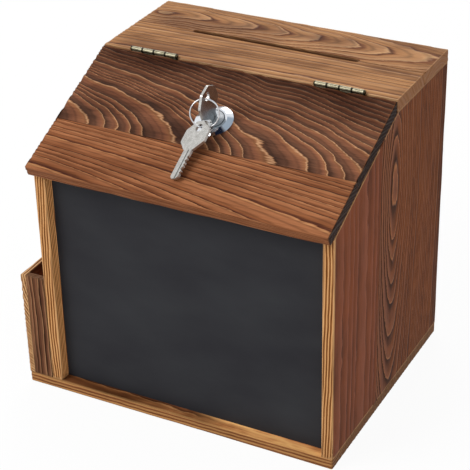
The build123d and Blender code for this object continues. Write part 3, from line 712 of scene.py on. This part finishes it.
def wood_nodes(tree, look):
    """What fills in the linked inputs of a board's finish."""
    rings, lines, to_edge, broad, end_grain, bare, slot_shade = (
        add(tree, "ShaderNodeAttribute", out="Fac", attribute_name=name)
        for name in ("rings", "lines", "to_edge", "broad", "end_grain", "bare", "slot_shade")
    )
    place = add(tree, "ShaderNodeAttribute", out="Vector", attribute_name="grain_place")

    # The bands of the rings, with fibres
    drawn = add(tree, VECTOR, {0: place, 1: per_metre(FIBRE)}, operation="MULTIPLY")
    fibres = add(tree, NOISE, {"Vector": drawn, "Scale": 1.0, "Detail": 3.0, "Roughness": 0.6})
    fine = add(tree, MATHS, {0: fibres, 1: BAND_SHIFT, 2: rings}, operation="MULTIPLY_ADD")
    share = add(tree, MATHS, {0: fine}, operation="FRACT")
    banded = add(tree, "ShaderNodeValToRGB", {0: share}, stops=look["bands"])

    # Where the bands are strong and where they fade, in patches
    wide = add(tree, VECTOR, {0: place, 1: per_metre(PATCH)}, operation="MULTIPLY")
    clouds = add(tree, NOISE, {"Vector": wide, "Scale": 1.0, "Detail": 3.0, "Roughness": 0.55})
    fade = add(tree, SPREAD, {0: clouds, **FADING, 4: look["fade"]})
    calm = add(tree, MIX, {0: fade, 6: banded, 7: linear(look["plain"])}, **RGBA)

    # Fine lines between the rings: 0 on a line, and 0.5 half way to the next
    drawn_lines = add(tree, MATHS, {0: fibres, 1: LINE_SHIFT, 2: lines}, operation="MULTIPLY_ADD")
    between = add(tree, MATHS, {0: drawn_lines, 1: 0.5}, operation="PINGPONG")
    lined = add(tree, SPREAD, {0: between, **LINE_LIGHT, 3: 1.0 - look["lines"]}, **SMOOTH)
    fibrous = add(tree, SPREAD, {0: fibres, **FIBRE_LIGHT})
    light = add(tree, MATHS, {0: lined, 1: fibrous}, operation="MULTIPLY")
    streaked = add(tree, VECTOR, {0: calm, "Scale": light}, operation="SCALE")

    # Burning in patches, stronger towards one edge on some boards
    burning = add(tree, SPREAD, {0: clouds, **BURNING, 4: look["burn"]})
    if "burn_across" in look:
        start, stop = (at * MM + BURN_WANDER / 2 for at in look["burn_across"])
        side = add(tree, PARTS, {0: place}, out=1)
        border = add(tree, MATHS, {0: clouds, 1: BURN_WANDER, 2: side}, operation="MULTIPLY_ADD")
        towards = add(tree, SPREAD, {0: border, 1: start, 2: stop, 4: EDGE_BURN})
        burning = add(tree, MATHS, {0: burning, 1: towards}, operation="ADD", use_clamp=True)
    burned = add(tree, MIX, {
        0: burning, 6: streaked, 7: linear(look["burnt"]),
    }, **RGBA, blend_type="MULTIPLY")

    # Narrow faces that the flame barely met, with fine stripes, and edges rubbed paler
    across_line = add(tree, MATHS, {0: between, 1: 2.0}, operation="MULTIPLY")
    striped = add(tree, "ShaderNodeValToRGB", {0: across_line}, stops=look["edge"])
    narrow = add(tree, SPREAD, {0: broad, **NARROW, 4: look["worn_face"]})
    unburnt = add(tree, MATHS, {0: narrow, 1: bare}, operation="MAXIMUM")
    # Painted light: the unburnt strip's stripes are brightened beyond the paleness of bare wood
    lit = add(tree, SPREAD, {0: bare, **STRIP_PAINTED_LIGHT})
    pale = add(tree, VECTOR, {0: striped, "Scale": lit}, operation="SCALE")
    opened = add(tree, MIX, {0: unburnt, 6: burned, 7: pale}, **RGBA)
    rub = add(tree, SPREAD, {0: to_edge, **RUBBING, 3: look["worn_edge"]})
    patchy = add(tree, SPREAD, {0: clouds, **PATCHY})
    rubbed = add(tree, MATHS, {0: rub, 1: patchy}, operation="MULTIPLY")
    palest = linear(look["edge"][-1][1])
    colour = add(tree, MIX, {0: rubbed, 6: opened, 7: palest}, **RGBA)

    # The ends and the walls of the paper slot are the darkest: dark end grain, and painted shade in
    # the slot
    cut = add(tree, MATHS, {0: slot_shade, 1: SLOT_SHADE_AMOUNT}, operation="MULTIPLY")
    slotted = add(tree, MIX, {0: cut, 6: colour, 7: linear(SLOT_SHADE_COLOUR)}, **RGBA)
    darkened, end_colour = look["end"]
    dark_end = add(tree, MATHS, {0: end_grain, 1: darkened}, operation="MULTIPLY")
    ended = add(tree, MIX, {0: dark_end, 6: slotted, 7: linear(end_colour)}, **RGBA)

    # The ridges of the rings, and the fibres on them, tip the light
    ridge = add(tree, SPREAD, {0: share, **RIDGE}, **SMOOTH)
    height = add(tree, MATHS, {0: fibres, 1: FIBRE_HEIGHT, 2: ridge}, operation="MULTIPLY_ADD")
    bump = add(tree, "ShaderNodeBump", {
        "Height": height, "Strength": GRAIN_STRENGTH, "Distance": GRAIN_HEIGHT,
    })
    rough = add(tree, SPREAD, {0: share, **WAX_ROUGH})
    return {"Base Color": ended, "Roughness": rough, "Normal": bump}


def wood_finish(name):
    """The finish for one kind of board, made once."""
    label = "torched_softwood_" + name
    return bpy.data.materials.get(label) or shade(label, WAXED, wood_nodes, WOODS[name])


# The values of the noise from which tarnish begins and at which it is full
TARNISHING = {1: 0.35, 2: 0.7}
# The same for scuffs, and how smooth and how rough they make a metal, as shares
SCUFFING = {1: 0.3, 2: 0.7}
SMOOTHEST = 0.8
ROUGHEST = 1.25
# The width and depth of scratches, in mm: real ones are finer, and would not show
SCRATCH = 0.35
SCRATCH_DEPTH = 0.05


def metal_nodes(tree, add_shade, colour, tarnish, amount, cloud, rough, scratch):
    """Metal with cloudy tarnish and fine scratches, and painted shade in a joint or gap where it
    has one.
    """
    place = add(tree, "ShaderNodeTexCoord", out="Object")
    clouds = add(tree, NOISE, {"Vector": place, "Scale": 1 / (cloud * MM), "Detail": 3.0})
    share = add(tree, SPREAD, {0: clouds, **TARNISHING, 4: amount})
    mixed = add(tree, MIX, {0: share, 6: linear(colour), 7: linear(tarnish)}, **RGBA)
    if add_shade:
        mixed = add_shade(tree, place, mixed)
    fine = add(tree, NOISE, {"Vector": place, "Scale": 1 / (SCRATCH * MM), "Detail": 2.0})
    roughness = add(tree, SPREAD, {
        0: fine, **SCUFFING, 3: rough * SMOOTHEST, 4: rough * ROUGHEST,
    })
    bump = add(tree, "ShaderNodeBump", {
        "Height": fine, "Strength": scratch, "Distance": SCRATCH_DEPTH * MM,
    })
    return {"Base Color": mixed, "Roughness": roughness, "Normal": bump}


# Each metal: its material's name, its colour, its tarnish and how much there is of it, the
# size of the tarnish's clouds in mm, its roughness and the strength of its scratches
METALS = {
    # Rolled brass, antiqued and handled: a dull grey gold with dark brown patches
    "hinge_brass": ("brass_antiqued", "#96907a", "#57523f", 0.7, 2.5, 0.36, 0.3),
    # Drawn brass wire, dark all over: nearly as dark as the painted shade in the joints beside it
    "pin_brass": ("brass_pin", "#4c4532", "#2c281c", 0.6, 2.0, 0.4, 0.2),
    # Turned brass that no hand reaches: a warm gold, brighter than the leaves
    "screw_brass": ("brass_screw", "#b79c58", "#6a5a34", 0.5, 1.5, 0.3, 0.2),
    # Chrome plate over polished metal: a cold mirror with a faint haze
    "lock_chrome": ("chrome_plate", "#e4e7ec", "#c3c8d0", 0.3, 6.0, 0.09, 0.04),
    # Nickel plate over a turned plug: milky reflections beside the bezel's clear ones
    "plug_steel": ("nickelled_plug", "#c9ccd0", "#9a9da2", 0.4, 3.0, 0.26, 0.15),
    # Zinc plate over pressed steel: grey, satin and cloudy
    "zinc_steel": ("zinc_plate", "#c8cbce", "#9fa4a8", 0.5, 4.0, 0.35, 0.2),
    # Drawn steel, left plain: a dull grey with darker specks
    "nail_steel": ("nail_steel", "#8d9094", "#5f5c58", 0.6, 1.5, 0.4, 0.2),
    # Nickel plate over a stamped blank, scuffed in pockets: pale, satin and finely scratched
    "key_nickel": ("nickel_key", "#c9c7c3", "#9c9a94", 0.6, 3.0, 0.28, 0.3),
    # Hard spring wire, polished by use: a narrow bright line along each turn
    "ring_steel": ("sprung_steel", "#dcdddf", "#aeb0b4", 0.3, 2.0, 0.14, 0.05),
}


# The hinges lie at equal distances to both sides of the lid's middle
HINGE_BOX = BOX_OF["right_hinge_top_leaf"]
LID_MIDDLE = sum(corner.x for corner in BOX_OF["lid_upper_board"]) / 2
KNUCKLES = 4
KNUCKLE = (HINGE_BOX[1].x - HINGE_BOX[0].x) / KNUCKLES
# Painted shade in a joint between knuckles and at the hinge's ends, where the narrow gaps would be
# dark: how far from its middle it begins to thin out and ends, as shares of a knuckle, how much it
# covers there, and its colour
JOINT = {1: 0.05, 2: 0.11, 3: 0.95, 4: 0.0}
JOINT_SHADE = "#16140e"

# The lock's axis, and where the narrow gap round the head of its plug begins and ends
LOCK_JOINT = next(j for j in frame["record"]["behaviour"]["joints"] if j["name"] == "lock_turn")
LOCK_PLACE = Vector(LOCK_JOINT["pos_m"])
PLUG_GAP = (7.6 * MM, 8.5 * MM)
# How much of the painted shade in the gap is full, how much it covers at most, and its colour
GAP_FULL = 0.6
GAP_COVER = 0.9
GAP_SHADE = "#25272c"


def shaded_gap(tree, place, colour):
    """The same colour, with painted shade in the gap round the head of the plug."""
    offset = add(tree, VECTOR, {0: place, 1: LOCK_PLACE}, operation="SUBTRACT")
    across = add(tree, VECTOR, {0: offset, 1: OUT_OF_LID}, operation="CROSS_PRODUCT")
    radius = add(tree, VECTOR, {0: across}, out="Value", operation="LENGTH")
    middle, half = sum(PLUG_GAP) / 2, (PLUG_GAP[1] - PLUG_GAP[0]) / 2
    off_middle = add(tree, MATHS, {0: radius, 1: middle}, operation="SUBTRACT")
    distance = add(tree, MATHS, {0: off_middle}, operation="ABSOLUTE")
    gap = add(tree, SPREAD, {0: distance, 1: half * GAP_FULL, 2: half, 3: GAP_COVER, 4: 0.0})
    return add(tree, MIX, {0: gap, 6: colour, 7: linear(GAP_SHADE)}, **RGBA)


def shaded_joints(tree, place, colour):
    """The same colour, with painted shade in the joints between a hinge's knuckles and at its ends.
    """
    sideways = add(tree, PARTS, {0: place})
    off_middle = add(tree, MATHS, {0: sideways, 1: LID_MIDDLE}, operation="SUBTRACT")
    distance = add(tree, MATHS, {0: off_middle}, operation="ABSOLUTE")
    inner = HINGE_BOX[0].x - LID_MIDDLE
    along = add(tree, SPREAD, {0: distance, 1: inner, 2: inner + KNUCKLE}, clamp=False)
    off_joint = add(tree, MATHS, {0: along, 1: 0.5}, operation="PINGPONG")
    joint = add(tree, SPREAD, {0: off_joint, **JOINT})
    return add(tree, MIX, {0: joint, 6: colour, 7: linear(JOINT_SHADE)}, **RGBA)


# The metals that have painted shade in their joints or gap
SHADED_METALS = {"hinge_brass": shaded_joints, "lock_chrome": shaded_gap, "plug_steel": shaded_gap}


def metal_finish(slot):
    """The finish for one metal slot of the record, made once."""
    label, *values = METALS[slot]
    found = bpy.data.materials.get(label)
    return found or shade(label, {"Metallic": 1.0}, metal_nodes, SHADED_METALS.get(slot), *values)


# The streaks of wiped dust: their sizes in mm, how far they slant, in radians, the values
# of the noise from which they begin and at which they are full, and their colour
DUST = (71.4286, 1000, 33.3333)
DUST_SLANT = 0.5
DUSTING = {1: 0.35, 2: 0.75}
DUSTED = "#313235"
# The dots that the roller leaves in the paint, and their height, in mm
STIPPLE = 0.8
STIPPLE_HEIGHT = 0.1


def chalk_nodes(tree):
    """Chalkboard paint: a matt charcoal, faintly rolled, with traces of wiped chalk dust."""
    place = add(tree, "ShaderNodeTexCoord", out="Object")
    wiped = add(tree, "ShaderNodeMapping", {
        "Vector": place, "Scale": per_metre(DUST), "Rotation": (0.0, DUST_SLANT, 0.0),
    })
    dust = add(tree, NOISE, {"Vector": wiped, "Scale": 1.0, "Detail": 4.0})
    share = add(tree, SPREAD, {0: dust, **DUSTING})
    colour = add(tree, MIX, {
        0: share, 6: bpy.context.scene.suggestion_box.chalk[:], 7: linear(DUSTED),
    }, **RGBA)
    stipple = add(tree, NOISE, {"Vector": place, "Scale": 1 / (STIPPLE * MM), "Detail": 2.0})
    bump = add(tree, "ShaderNodeBump", {
        "Height": stipple, "Strength": 0.12, "Distance": STIPPLE_HEIGHT * MM,
    })
    return {"Base Color": colour, "Normal": bump}


def dress(node, material):
    """Gives a CAD node its finish."""
    slots = frame["nodes"][node].data.materials
    slots.clear()
    slots.append(material)


class BoxSettings(bpy.types.PropertyGroup):
    """How deep the boards are brushed, and the colour of the writing panel."""
    relief: bpy.props.FloatProperty(
        name="Relief", description="How deep the brushing is, as a share of each board's own depth",
        default=1.0, min=0.0, max=1.4, subtype="FACTOR",
    )
    chalk: bpy.props.FloatVectorProperty(
        name="Chalkboard", description="Colour of the writing panel's paint", subtype="COLOR",
        size=4, default=linear("#28282c"), min=0.0, max=1.0,
    )


class StageSettings(bpy.types.PropertyGroup):
    """The floor, the lamps and the camera."""
    floor_colour: bpy.props.FloatVectorProperty(
        name="Floor", description="Colour of the floor", subtype="COLOR", size=4,
        default=linear("#f4f4f4"), min=0.0, max=1.0,
    )
    lens: bpy.props.FloatProperty(
        name="Lens", description="Focal length of the camera, in millimetres",
        default=121.13, min=10.0,
    )
    key_power: bpy.props.FloatProperty(
        name="Key lamp", description="Power of the large lamp on the left",
        default=24.0, min=0.0, unit="POWER",
    )
    fill: bpy.props.FloatProperty(
        name="Fill", description="Strength of the light from all around", default=0.62, min=0.0,
    )


class BuildBoards:
    """What the operators for the boards share."""
    group = ""

    def execute(self, context):
        for name in BOARD_GROUPS[self.group]:
            make_board(name, wood_finish(BOARDS[name]["finish"]))
        return {"FINISHED"}


class SUGGESTION_OT_lid(BuildBoards, bpy.types.Operator):
    """Build the lid's two boards, charred above and redder below"""
    bl_idname = "suggestion.lid"
    bl_label = "Lid boards"
    group = "lid"


class SUGGESTION_OT_top(BuildBoards, bpy.types.Operator):
    """Build the two boards of the flat top, on both sides of the paper slot"""
    bl_idname = "suggestion.top"
    bl_label = "Top boards"
    group = "top"


class SUGGESTION_OT_sides(BuildBoards, bpy.types.Operator):
    """Build the two boards of each side"""
    bl_idname = "suggestion.sides"
    bl_label = "Side boards"
    group = "sides"


class SUGGESTION_OT_back(BuildBoards, bpy.types.Operator):
    """Build the two boards of the back"""
    bl_idname = "suggestion.back"
    bl_label = "Back boards"
    group = "back"


class SUGGESTION_OT_base(BuildBoards, bpy.types.Operator):
    """Build the base board"""
    bl_idname = "suggestion.base"
    bl_label = "Base board"
    group = "base"


class SUGGESTION_OT_pocket(BuildBoards, bpy.types.Operator):
    """Build the three walls of the card pocket"""
    bl_idname = "suggestion.pocket"
    bl_label = "Pocket walls"
    group = "pocket"


class SUGGESTION_OT_rail(BuildBoards, bpy.types.Operator):
    """Build the rail that the lock's cam catches"""
    bl_idname = "suggestion.rail"
    bl_label = "Lock rail"
    group = "rail"


class SUGGESTION_OT_chalkboard(bpy.types.Operator):
    """Paint the writing panel"""
    bl_idname = "suggestion.chalkboard"
    bl_label = "Chalkboard"

    def execute(self, context):
        matt = {"Roughness": 0.7, "Specular IOR Level": 0.12}
        dress("chalkboard", shade("chalkboard_paint", matt, chalk_nodes))
        return {"FINISHED"}


class SUGGESTION_OT_metalwork(bpy.types.Operator):
    """Give the hinges, lock, keys, ring, screws and nails their metals"""
    bl_idname = "suggestion.metalwork"
    bl_label = "Metalwork"

    def execute(self, context):
        for name, slot in SLOT_OF.items():
            if slot in METALS:
                dress(name, metal_finish(slot))
        return {"FINISHED"}


class SUGGESTION_OT_stage(bpy.types.Operator):
    """Set up the pale floor, the soft lamps and the camera"""
    bl_idname = "suggestion.stage"
    bl_label = "Stage"

    def execute(self, context):
        make_floor()
        make_world()
        make_lamps()
        make_camera()
        return {"FINISHED"}


def seen_directly(tree):
    """1 for what the camera sees by itself, in a reflection or through glass."""
    camera, glossy, through = (
        add(tree, "ShaderNodeLightPath", out=name)
        for name in ("Is Camera Ray", "Is Glossy Ray", "Is Transmission Ray")
    )
    both = add(tree, MATHS, {0: camera, 1: glossy}, operation="MAXIMUM")
    return add(tree, MATHS, {0: both, 1: through}, operation="MAXIMUM")


# How far the floor reaches from the box, in metres, and how much of it is seen as white
FLOOR_REACH = 6.0
FLOOR_WHITE = 0.94


def make_floor():
    """A wide plain floor that keeps the object's shadow."""
    settings = bpy.context.scene.suggestion_stage
    mesh = bpy.data.meshes.new("floor")
    near, far = -FLOOR_REACH, FLOOR_REACH
    corners = [(near, near, 0), (far, near, 0), (far, far, 0), (near, far, 0)]
    mesh.from_pydata(corners, [], [(0, 1, 2, 3)])
    floor = new_object("floor", mesh)
    material = bpy.data.materials.new("paper_floor")
    material.use_nodes = True
    tree = material.node_tree
    tree.nodes.clear()
    matt = add(tree, "ShaderNodeBsdfDiffuse", {"Color": settings.floor_colour[:]})
    white = add(tree, "ShaderNodeEmission", {"Color": (1, 1, 1, 1), "Strength": 1.0})
    share = add(tree, MATHS, {0: seen_directly(tree), 1: FLOOR_WHITE}, operation="MULTIPLY")
    mixed = add(tree, "ShaderNodeMixShader", {0: share, 1: matt, 2: white})
    add(tree, "ShaderNodeOutputMaterial", {"Surface": mixed})
    mesh.materials.append(material)


# A dark ceiling and a grey screen that only reflections meet: the direction of each from
# the box, the cosines at which it begins and is full, and its colour
DARK_CEILING = (Vector((-0.05, -0.64, 0.77)), 0.80, 0.90, "#151a2a")
GREY_SCREEN = (Vector((0.40, 0.15, 0.90)), 0.84, 0.93, "#a6b2bd")


def make_world():
    """White where it is seen, but for the dark ceiling and the grey screen that only
    reflections meet, and a softer white for the light it gives."""
    settings = bpy.context.scene.suggestion_stage
    world = bpy.data.worlds.new("white_room")
    world.use_nodes = True
    tree = world.node_tree
    tree.nodes.clear()
    strength = add(tree, SPREAD, {0: seen_directly(tree), 3: settings.fill, 4: 1.0})
    towards = add(tree, "ShaderNodeTexCoord", out="Generated")
    glossy = add(tree, "ShaderNodeLightPath", out="Is Glossy Ray")
    colour = None
    for place, start, full, code in (GREY_SCREEN, DARK_CEILING):
        near = add(tree, VECTOR, {0: towards, 1: place}, **DOT)
        zone = add(tree, SPREAD, {0: near, 1: start, 2: full}, **SMOOTH)
        share = add(tree, MATHS, {0: zone, 1: glossy}, operation="MULTIPLY")
        colour = add(tree, MIX, {0: share, 6: colour or (1, 1, 1, 1), 7: linear(code)}, **RGBA)
    light = add(tree, "ShaderNodeBackground", {"Color": colour, "Strength": strength})
    add(tree, "ShaderNodeOutputWorld", {"Surface": light})
    bpy.context.scene.world = world


# The lamps: the place and width of each, in metres, and its power as a share of the key's
LAMPS = {
    "key": (Vector((-0.9, -1.3, 1.6)), 1.2, 1.0),
    "back_light": (Vector((-0.5, 1.2, 1.3)), 1.0, 0.35),
}
LIT_POINT = Vector((0, 0, 0.12))


def make_lamps():
    """A large soft lamp high on the left and in front, and a weaker one behind."""
    settings = bpy.context.scene.suggestion_stage
    for name, (place, width, share) in LAMPS.items():
        data = bpy.data.lights.new(name, "AREA")
        data.shape, data.size, data.energy = "DISK", width, settings.key_power * share
        lamp = new_object(name, data)
        lamp.location = place
        lamp.rotation_euler = (LIT_POINT - place).to_track_quat("-Z", "Y").to_euler()


# The camera's place, in metres, and the directions to its right and ahead of it, solved
# from the case's straight edges, with the width of its sensor in mm
CAMERA_PLACE = Vector((0.48925, -0.9138, 0.7031))
CAMERA_RIGHT = Vector((0.8874, 0.4605, -0.021))
CAMERA_AHEAD = Vector((-0.409, 0.7654, -0.497))
SENSOR_WIDTH = 36.0


def make_camera():
    """The camera at the photograph's place."""
    data = bpy.data.cameras.new("camera")
    data.lens = bpy.context.scene.suggestion_stage.lens
    data.sensor_width = SENSOR_WIDTH
    camera = new_object("camera", data)
    right, ahead = CAMERA_RIGHT.normalized(), CAMERA_AHEAD.normalized()
    up = right.cross(ahead)
    turn = Matrix((right, up, -ahead)).transposed().to_4x4()
    camera.matrix_world = Matrix.Translation(CAMERA_PLACE) @ turn
    bpy.context.scene.camera = camera
    bpy.context.scene.view_settings.view_transform = "Standard"


OPERATORS = (
    SUGGESTION_OT_lid, SUGGESTION_OT_top, SUGGESTION_OT_sides, SUGGESTION_OT_back,
    SUGGESTION_OT_base, SUGGESTION_OT_pocket, SUGGESTION_OT_rail, SUGGESTION_OT_chalkboard,
    SUGGESTION_OT_metalwork, SUGGESTION_OT_stage,
)


class SUGGESTION_PT_panel(bpy.types.Panel):
    """The settings, and a button for each group of pieces"""
    bl_idname = "SUGGESTION_PT_panel"
    bl_label = "Suggestion box"
    bl_space_type = "VIEW_3D"
    bl_region_type = "UI"
    bl_category = "Suggestion box"

    def draw(self, context):
        scene = context.scene
        for settings in (scene.suggestion_box, scene.suggestion_stage):
            for name in settings.__annotations__:
                self.layout.prop(settings, name)
        for operator in OPERATORS:
            self.layout.operator(operator.bl_idname)


CLASSES = (BoxSettings, StageSettings, *OPERATORS, SUGGESTION_PT_panel)


def register():
    for cls in CLASSES:
        bpy.utils.register_class(cls)
    bpy.types.Scene.suggestion_box = bpy.props.PointerProperty(type=BoxSettings)
    bpy.types.Scene.suggestion_stage = bpy.props.PointerProperty(type=StageSettings)


def unregister():
    del bpy.types.Scene.suggestion_stage
    del bpy.types.Scene.suggestion_box
    for cls in reversed(CLASSES):
        bpy.utils.unregister_class(cls)


def main():
    register()
    for operator in OPERATORS:
        area, action = operator.bl_idname.split(".")
        getattr(getattr(bpy.ops, area), action)()


if __name__ == "__main__":
    main()
